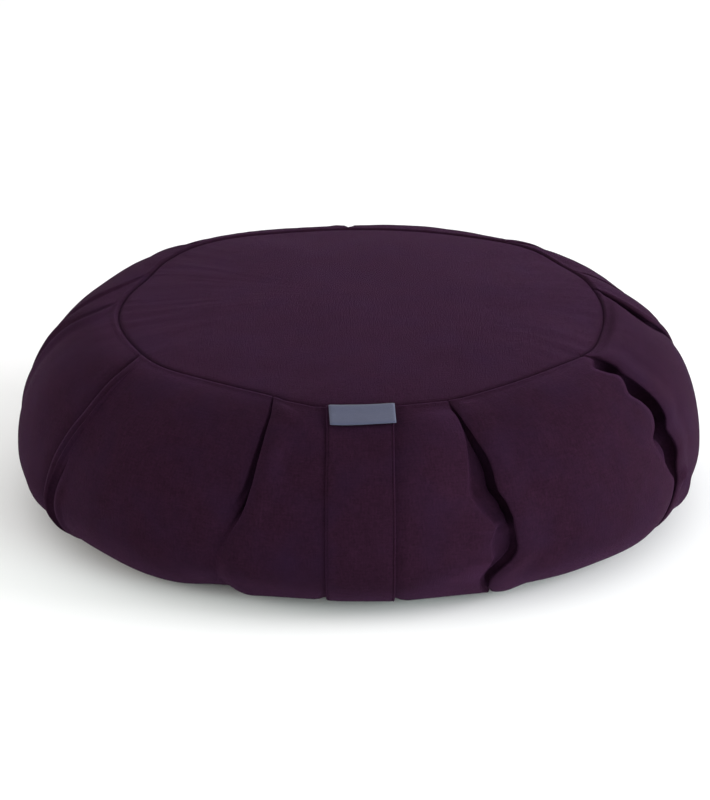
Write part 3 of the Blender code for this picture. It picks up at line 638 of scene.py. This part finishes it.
def base_rows(side_angles):
    """Points of the underside, from the bottom seam to near its middle."""
    even = even_angles(side_angles)
    rows = []
    for radius, height, blend in BASE_RINGS:
        turn = np.radians(side_angles + (even - side_angles) * blend)
        x = radius * np.sin(turn) + CENTRE_X
        y = -radius * np.cos(turn) + CENTRE_Y
        rows.append(np.stack([x, y, np.full(len(turn), height)], axis=-1))
    return np.array(rows)


def grid_faces(rows, columns, closed):
    """Quads of a grid listed row by row, which may close around its columns."""
    steps = columns if closed else columns - 1
    row, column = np.meshgrid(np.arange(rows - 1), np.arange(steps), indexing="ij")
    after = (column + 1) % columns
    here = row * columns
    below = here + columns
    return np.stack([here + column, below + column, below + after, here + after], axis=-1).reshape(-1, 4)


def mesh_object(name, points, faces, material, cloth_places=None):
    """A smooth shaded object from points in mm. cloth_places gives each corner's place on the cloth."""
    mesh = bpy.data.meshes.new(name)
    mesh.from_pydata((np.asarray(points) * MM).tolist(), [], faces)
    mesh.shade_smooth()
    if cloth_places is not None:
        layer = mesh.uv_layers.new(name="cloth")
        layer.data.foreach_set("uv", np.asarray(cloth_places, np.float32).ravel())
    mesh.materials.append(material)
    result = bpy.data.objects.new(name, mesh)
    bpy.context.scene.collection.objects.link(result)
    return result


def corner_places(places, faces, wrap):
    """Each corner's place on the cloth. Where a face crosses the closing column, wrap is added across."""
    corners = places[faces]
    if wrap:
        low = corners[..., 0].max(axis=1) - corners[..., 0].min(axis=1) > wrap / 2
        fixed = corners[low]
        highest = fixed[..., 0].max(axis=1, keepdims=True)
        fixed[..., 0] += np.where(fixed[..., 0] < highest - wrap / 2, wrap, 0)
        corners[low] = fixed
    return corners.reshape(-1, 2)


def cushion_body(material):
    """The filled body: top panel, seam, pleated side and base as one closed skin."""
    angles, shares, side = side_rows()
    top = top_rows(angles[0], side[0])
    base = base_rows(angles[-1])
    columns = angles.shape[1]
    rows = np.concatenate([top, side, base])
    middle_top = [CENTRE_X, CENTRE_Y, float(top[0, :, 2].mean())]
    middle_bottom = [CENTRE_X, CENTRE_Y, 0.0]
    points = np.concatenate([rows.reshape(-1, 3), [middle_top], [middle_bottom]])
    quads = grid_faces(len(rows), columns, closed=True)
    column = np.arange(columns)
    after = (column + 1) % columns
    top_fan = np.stack([np.full(columns, len(points) - 2), column, after], axis=-1)
    last = (len(rows) - 1) * columns
    bottom_fan = np.stack([np.full(columns, len(points) - 1), last + after, last + column], axis=-1)
    flat_places = points[:, :2] * MM
    around = np.radians(angles) * TOP_SEAM_RADIUS * 1.25 * MM
    down = -shares * SIDE_LENGTH * MM
    side_places = np.stack([around, down], axis=-1).reshape(-1, 2)
    first_side = len(top) * columns
    places = flat_places.copy()
    places[first_side:first_side + len(side_places)] = side_places
    on_side = (quads.min(axis=1) >= first_side) & (quads.max(axis=1) < first_side + len(side_places))
    wrap = 2 * np.pi * TOP_SEAM_RADIUS * 1.25 * MM
    corners = np.where(np.repeat(on_side, 4)[:, None], corner_places(places, quads, wrap),
                       corner_places(flat_places, quads, 0))
    fans = np.concatenate([top_fan, bottom_fan])
    corners = np.concatenate([corners, flat_places[fans].reshape(-1, 2)])
    faces = quads.tolist() + fans.tolist()
    return mesh_object("cushion_body", points, faces, material, corners)


def panel_points(across, shares, offset):
    """Points over the cloth at distances across the strap's line, on rows of shares, moved out by offset."""
    rows = []
    for number, share in enumerate(shares):
        radius = float(side_section(STRAP_ANGLE, share)[0])
        angles = STRAP_ANGLE + np.degrees(across[number] / radius)
        column_angles, column_moves = columns_at(share)
        move = np.interp(angles, column_angles, column_moves)
        share_row = np.full(len(angles), share)
        out = move + lumps(angles, share_row) + strap_bed(angles, share_row)
        out = out + side_wrinkles(angles, share_row)
        rows.append(placed(angles, share_row, out + offset[number]))
    return np.array(rows)


def strap_section():
    """Places across the strap, heights of its top over its underside, and where its stitched lines are."""
    half = STRAP_WIDTH / 2
    edge = [0.0, 0.1, 0.3, 0.6, 0.95, STITCH_INSET, 1.55, 2.2, 4.0, 7.0, 11.0, 15.0]
    across = np.array([-half + inset for inset in edge] + [half - inset for inset in reversed(edge)])
    inset = half - np.abs(across)
    turn_width = np.where(across > 0, STRAP_TURN_RIGHT, STRAP_TURN_LEFT)
    round_edge = np.sqrt(np.clip(1 - (1 - np.clip(inset / turn_width, 0, 1)) ** 2, 0, 1))
    stitched = np.exp(-((inset - STITCH_INSET) / 0.32) ** 2)
    ridge = np.where(across > 0, STRAP_RIDGE_RIGHT, 0.0) * np.exp(-((inset - 0.55) / 0.35) ** 2)
    pressed = np.where(across > 0, STRAP_PRESSED_RIGHT, STRAP_PRESSED_LEFT)
    height = STRAP_THICKNESS * (pressed + (1 - pressed) * round_edge) + ridge
    return across, height, stitched


def strap_sway(distance):
    """How far the strap strays to the right at a distance down the cloth."""
    return STRAP_SWAY * noise.noise(Vector((distance / 38, 3.3, 0.0)))


def closed_sheet(name, rows, across, distances, material):
    """A thin closed sheet from rows that run across its top layer and back across its underside."""
    columns = rows.shape[1]
    places = np.stack(np.broadcast_arrays(np.concatenate([across, across[::-1]])[None, :],
                                          -distances[:, None]), axis=-1).reshape(-1, 2) * MM
    faces = grid_faces(len(rows), columns, closed=True)
    corners = corner_places(places, faces, 0)
    ends = [list(range(columns)), list(range(len(rows) * columns - 1, (len(rows) - 1) * columns - 1, -1))]
    end_corners = np.concatenate([places[ends[0]], places[ends[1]]])
    return mesh_object(name, rows.reshape(-1, 3), faces.tolist() + ends, material,
                       np.concatenate([corners, end_corners]))


def strap(material):
    """The flat strap: two layers of cloth pressed flat, stitched close to each edge."""
    across, height, stitched = strap_section()
    shares = np.array(growing(0.6, 1.2, SIDE_LENGTH * STRAP_END_SHARE)) / SIDE_LENGTH
    distances = shares * SIDE_LENGTH
    pinch = STITCH_SINK + 0.22 * np.cos(2 * np.pi * distances / STITCH_PITCH)
    settle = np.clip(distances / 3.0, 0.25, 1)
    sway = np.array([strap_sway(distance) for distance in distances])
    across_rows = across[None, :] + sway[:, None]
    uneven = noise_at(across_rows / 9, distances[:, None] / 26, 0.4) * 0.14
    top = STRAP_LIFT + (height[None, :] - stitched[None, :] * pinch[:, None] + uneven) * settle[:, None]
    outer = panel_points(across_rows, shares, top)
    inner = panel_points(across_rows[:, ::-1], shares, np.full(across_rows.shape, STRAP_LIFT))
    rows = np.concatenate([outer, inner], axis=1)
    return closed_sheet("strap_cloth", rows, across, distances, material)


def capsule(start, end, lift, radius, sides=6, rings=5):
    """Points and faces of a stitch between two points, sunk at its ends along lift."""
    start, end, lift = (np.asarray(v, float) for v in (start, end, lift))
    along = end - start
    across = np.cross(along, lift)
    across /= np.linalg.norm(across)
    points = []
    for ring in range(rings):
        t = ring / (rings - 1)
        centre = start + along * t + lift * (math.sin(math.pi * t) - 0.35) * radius * 1.1
        width = radius * (0.45 + 0.55 * math.sin(math.pi * (0.08 + 0.84 * t)))
        for side in range(sides):
            turn = 2 * math.pi * side / sides
            points.append(centre + width * (math.cos(turn) * across + math.sin(turn) * lift))
    faces = []
    for ring in range(rings - 1):
        for side in range(sides):
            a = ring * sides + side
            b = ring * sides + (side + 1) % sides
            faces.append((a, b, b + sides, a + sides))
    faces.append(tuple(range(sides))[::-1])
    faces.append(tuple((rings - 1) * sides + side for side in range(sides)))
    return points, faces


def strap_stitches(material):
    """The two rows of stitches that hold the strap's folded edges."""
    points, faces = [], []
    count = int(SIDE_LENGTH * 0.94 / STITCH_PITCH)
    for side in (-1, 1):
        across = side * (STRAP_WIDTH / 2 - STITCH_INSET)
        for number in range(3, count):
            middle = (number + 0.5) * STITCH_PITCH
            shares = np.array([middle - STITCH_LENGTH / 2, middle + STITCH_LENGTH / 2]) / SIDE_LENGTH
            places = np.full((2, 1), across + strap_sway(middle))
            top = STRAP_LIFT + STRAP_THICKNESS - STITCH_SINK
            low = panel_points(places, shares, np.full((2, 1), top))[:, 0]
            high = panel_points(places, shares, np.full((2, 1), top + 1.0))[:, 0]
            lift = (high - low).mean(axis=0)
            more, more_faces = capsule(low[0], low[1], lift / np.linalg.norm(lift), STITCH_RADIUS)
            faces.extend(tuple(len(points) + corner for corner in face) for face in more_faces)
            points.extend(more)
    places = np.array(points)[:, [0, 2]] * MM
    corners = np.concatenate([places[list(face)] for face in faces])
    return mesh_object("strap_stitches", points, faces, material, corners)


def label(material):
    """The bare woven label: its head is caught in the seam and its foot hangs free over the strap."""
    across = np.linspace(-LABEL_WIDTH / 2, LABEL_WIDTH / 2, 33)
    distances = np.linspace(0.35, LABEL_HEIGHT, 15)
    down = distances / LABEL_HEIGHT
    side = np.abs(across) / (LABEL_WIDTH / 2)
    rim = 1 - 0.45 * ease(side, 0.965, 1.0)
    wave = 0.35 * np.sin(across / LABEL_WIDTH * 5.2 + 0.7)
    lift = 0.5 + (LABEL_LIFT - 0.5) * ease(distances, 0, 3.5)
    lift = lift[:, None] + down[:, None] ** 2 * (1.7 + wave[None, :])
    end = np.where(down > 0.97, 0.6, 1.0)
    outer_lift = lift + LABEL_THICKNESS * rim[None, :] * end[:, None]
    shares = distances / SIDE_LENGTH
    across_rows = across[None, :] + LABEL_OFFSET + LABEL_SKEW * down[:, None]
    slanted = shares[:, None] + LABEL_SLANT * across[None, :] / SIDE_LENGTH

    def layer(offset):
        rows = []
        for number in range(len(shares)):
            radius = float(side_section(STRAP_ANGLE, shares[number])[0])
            angles = STRAP_ANGLE + np.degrees(across_rows[number] / radius)
            out = lumps(angles, slanted[number]) - STRAP_BED * ease(slanted[number], 0.0, 0.06)
            rows.append(placed(angles, slanted[number], out + offset[number]))
        return np.array(rows)

    rows = np.concatenate([layer(outer_lift), layer(lift)[:, ::-1]], axis=1)
    return closed_sheet("label_cloth", rows, across, distances, material)


class Nodes:
    """A material's node tree, with short calls to add and join nodes."""

    def __init__(self, name):
        self.material = bpy.data.materials.new(name)
        self.material.use_nodes = True
        self.tree = self.material.node_tree
        self.shader = self.tree.nodes["Principled BSDF"]

    def add(self, kind, inputs=(), **settings):
        node = self.tree.nodes.new(kind)
        for name, value in settings.items():
            setattr(node, name, value)
        for key, value in dict(inputs).items():
            if isinstance(value, bpy.types.NodeSocket):
                self.tree.links.new(value, node.inputs[key])
            else:
                node.inputs[key].default_value = value
        return node

    def math(self, operation, a, b=0.0):
        return self.add("ShaderNodeMath", {0: a, 1: b}, operation=operation).outputs[0]

    def noise(self, place, scale, detail=2.0, roughness=0.5):
        inputs = {"Vector": place, "Scale": scale, "Detail": detail, "Roughness": roughness}
        return self.add("ShaderNodeTexNoise", inputs).outputs["Fac"]

    def stretched(self, place, scale):
        return self.add("ShaderNodeMapping", {"Vector": place, "Scale": scale}).outputs["Vector"]

    def blend(self, fac, a, b):
        return self.add("ShaderNodeMix", {0: fac, 6: a, 7: b}, data_type="RGBA").outputs[2]


def weave(nodes, place, pitch):
    """The height of a plain weave with uneven threads: warp and weft ribs that pass over and under."""
    apart = nodes.add("ShaderNodeSeparateXYZ", {0: place})
    turn = 2 * math.pi / (pitch * MM)
    warp = nodes.math("SINE", nodes.math("MULTIPLY", apart.outputs[0], turn))
    weft = nodes.math("SINE", nodes.math("MULTIPLY", apart.outputs[1], turn))
    crossing = nodes.math("MULTIPLY", warp, weft)
    along = nodes.noise(nodes.stretched(place, (170, 1000, 1)), 1.0)
    down = nodes.noise(nodes.stretched(place, (1000, 170, 1)), 1.0)
    slub = nodes.math("ADD", along, down)
    height = nodes.math("ADD", nodes.math("MULTIPLY", crossing, 0.4), slub)
    return height, slub


def cloth_material(name, dark, light):
    """Matt cotton: threads as bump, slubs and faint fading as colour, and the soft sheen of its nap."""
    nodes = Nodes(name)
    place = nodes.add("ShaderNodeUVMap", uv_map="cloth").outputs[0]
    spot = nodes.add("ShaderNodeNewGeometry").outputs["Position"]
    height, slub = weave(nodes, place, THREAD_PITCH)
    grain = nodes.noise(spot, 850.0, 2.0)
    amount = nodes.math("MULTIPLY", slub, 0.8)
    for scale, weight in ((14.0, 0.5), (95.0, 0.5)):
        mottle = nodes.noise(spot, scale, 3.0)
        amount = nodes.math("ADD", amount, nodes.math("MULTIPLY", mottle, weight))
    amount = nodes.math("ADD", amount, nodes.math("MULTIPLY", grain, 1.1))
    amount = nodes.math("SUBTRACT", amount, 1.4)
    colour = nodes.blend(amount, (*dark, 1), (*light, 1))
    blue = nodes.math("MULTIPLY", nodes.math("SUBTRACT", nodes.noise(spot, 42.0, 3.0), 0.42), 1.6)
    colour = nodes.blend(blue, colour, (*PLUM_BLUE, 1))
    relief = nodes.math("ADD", height, nodes.math("MULTIPLY", grain, 0.5))
    bump = nodes.add("ShaderNodeBump", {"Height": relief, "Strength": 0.55, "Distance": WEAVE_RELIEF * MM})
    rough = nodes.math("ADD", nodes.math("MULTIPLY", slub, 0.10), 0.74)
    nodes.tree.links.new(colour, nodes.shader.inputs["Base Color"])
    nodes.tree.links.new(bump.outputs[0], nodes.shader.inputs["Normal"])
    nodes.tree.links.new(rough, nodes.shader.inputs["Roughness"])
    nodes.shader.inputs["Specular IOR Level"].default_value = 0.02
    nodes.shader.inputs["Sheen Weight"].default_value = 0.05
    nodes.shader.inputs["Sheen Roughness"].default_value = 0.3
    nodes.shader.inputs["Sheen Tint"].default_value = (1.0, 0.36, 1.0, 1.0)
    return nodes.material


def thread_material():
    """The stitches' plum thread, painted darker than the cloth: painted shade of the dents the stitches sink
    into.
    """
    nodes = Nodes("plum_thread")
    place = nodes.add("ShaderNodeUVMap", uv_map="cloth").outputs[0]
    twist = nodes.noise(nodes.stretched(place, (2600, 900, 1)), 1.0)
    # painted shade: the thread runs from the painted dark shade up to the cloth's own plum, with a random
    # twist
    colour = nodes.blend(twist, (*THREAD_PAINTED_SHADE, 1), (*PLUM, 1))
    nodes.tree.links.new(colour, nodes.shader.inputs["Base Color"])
    nodes.shader.inputs["Roughness"].default_value = 0.8
    nodes.shader.inputs["Specular IOR Level"].default_value = 0.03
    return nodes.material


def label_material():
    """Slate blue woven tape with fine cross ribs and paler edges."""
    nodes = Nodes("slate_weave")
    place = nodes.add("ShaderNodeUVMap", uv_map="cloth").outputs[0]
    apart = nodes.add("ShaderNodeSeparateXYZ", {0: place})
    ribs = nodes.math("SINE", nodes.math("MULTIPLY", apart.outputs[1], 2 * math.pi / (LABEL_RIB_PITCH * MM)))
    warp = nodes.math("SINE", nodes.math("MULTIPLY", apart.outputs[0], 2 * math.pi / (LABEL_WARP_PITCH * MM)))
    slub = nodes.noise(nodes.stretched(place, (420, 2400, 1)), 1.0)
    fade = nodes.noise(place, 160.0, 2.0)
    from_middle = nodes.math("ABSOLUTE", apart.outputs[0])
    side_edge = nodes.math("SUBTRACT", from_middle, (LABEL_WIDTH / 2 - LABEL_EDGE) * MM)
    foot_edge = nodes.math("SUBTRACT", (LABEL_EDGE - LABEL_HEIGHT) * MM, apart.outputs[1])
    edge = nodes.math("MULTIPLY", nodes.math("MAXIMUM", side_edge, foot_edge), 700)
    edge = nodes.add("ShaderNodeClamp", {0: edge}).outputs[0]
    amount = nodes.math("ADD", nodes.math("MULTIPLY", slub, 0.5), nodes.math("MULTIPLY", fade, 0.4))
    amount = nodes.math("ADD", nodes.math("SUBTRACT", amount, 0.2), nodes.math("MULTIPLY", edge, 0.55))
    colour = nodes.blend(amount, (*SLATE, 1), (*SLATE_LIGHT, 1))
    height = nodes.math("ADD", nodes.math("MULTIPLY", ribs, 0.6), nodes.math("MULTIPLY", warp, 0.25))
    height = nodes.math("ADD", height, slub)
    bump = nodes.add("ShaderNodeBump", {"Height": height, "Strength": 0.5, "Distance": 0.00015})
    nodes.tree.links.new(colour, nodes.shader.inputs["Base Color"])
    nodes.tree.links.new(bump.outputs[0], nodes.shader.inputs["Normal"])
    nodes.shader.inputs["Roughness"].default_value = 0.62
    nodes.shader.inputs["Specular IOR Level"].default_value = 0.2
    nodes.shader.inputs["Sheen Weight"].default_value = 0.1
    return nodes.material


def floor():
    """A wide pale floor."""
    nodes = Nodes("pale_floor")
    spot = nodes.add("ShaderNodeNewGeometry").outputs["Position"]
    shade = nodes.noise(spot, 1.5, 2.0)
    colour = nodes.blend(shade, (0.88, 0.88, 0.885, 1), (0.90, 0.90, 0.90, 1))
    nodes.tree.links.new(colour, nodes.shader.inputs["Base Color"])
    nodes.shader.inputs["Roughness"].default_value = 0.9
    mesh = bpy.data.meshes.new("floor")
    reach = FLOOR_REACH
    corners = [(-reach, -reach, 0), (reach, -reach, 0), (reach, reach, 0), (-reach, reach, 0)]
    mesh.from_pydata(corners, [], [(0, 1, 2, 3)])
    mesh.materials.append(nodes.material)
    result = bpy.data.objects.new("floor", mesh)
    bpy.context.scene.collection.objects.link(result)


def area_light(name, place, size, watts, colour):
    """A soft square lamp that faces the cushion."""
    data = bpy.data.lights.new(name, "AREA")
    data.energy = watts
    data.size = size
    data.color = colour
    lamp = bpy.data.objects.new(name, data)
    lamp.location = place
    lamp.rotation_euler = (Vector(LAMP_AIM) - Vector(place)).to_track_quat("-Z", "Y").to_euler()
    bpy.context.scene.collection.objects.link(lamp)


def lights():
    """A bright room of soft light, with the main lamp on the right."""
    world = bpy.data.worlds.new("studio")
    world.use_nodes = True
    background = world.node_tree.nodes["Background"]
    background.inputs["Color"].default_value = (1.0, 1.0, 1.0, 1.0)
    background.inputs["Strength"].default_value = 0.95
    bpy.context.scene.world = world
    area_light("main lamp", (2.3, -0.2, 0.7), 1.4, 57, (1.0, 0.95, 1.0))
    area_light("front lamp", (0.0, -2.4, 0.55), 1.4, 13, (0.98, 1.0, 0.96))
    area_light("front right lamp", (1.7, -1.7, 0.5), 1.2, 38, (0.80, 1.0, 0.95))
    area_light("left lamp", (-2.3, -0.4, 0.7), 1.4, 18, (1.0, 0.97, 0.86))
    bpy.context.scene.view_settings.view_transform = "Standard"


def camera():
    """The photograph's view: from the front, 20 degrees above the floor, with a long lens."""
    elevation = math.radians(CAMERA_ELEVATION)
    aim = Vector(CAMERA_AIM)
    data = bpy.data.cameras.new("camera")
    data.lens = CAMERA_LENS
    data.clip_start = 0.05
    result = bpy.data.objects.new("camera", data)
    result.location = aim + CAMERA_DISTANCE * Vector((0, -math.cos(elevation), math.sin(elevation)))
    result.rotation_euler = (aim - result.location).to_track_quat("-Z", "Y").to_euler()
    bpy.context.scene.collection.objects.link(result)
    bpy.context.scene.camera = result


def dress():
    """Makes each piece, puts it in place of its solid and hides the solid."""
    cotton = cloth_material("plum_cotton", PLUM, PLUM_LIGHT)
    body = cushion_body(cotton)
    band = strap(cloth_material("plum_cotton_strap", PLUM, PLUM_LIGHT))
    stitches = strap_stitches(thread_material())
    tape = label(label_material())
    for piece in (body, band, stitches, tape):
        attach(piece, "root")
    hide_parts("cushion")
    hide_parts("strap")
    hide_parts("label")


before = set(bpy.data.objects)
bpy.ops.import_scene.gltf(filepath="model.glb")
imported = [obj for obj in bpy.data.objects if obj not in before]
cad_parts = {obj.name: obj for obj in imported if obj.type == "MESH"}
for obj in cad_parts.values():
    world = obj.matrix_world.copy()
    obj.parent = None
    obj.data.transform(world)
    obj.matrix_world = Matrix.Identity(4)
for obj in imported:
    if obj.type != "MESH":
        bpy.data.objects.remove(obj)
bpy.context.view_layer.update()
dress()
floor()
lights()
camera()
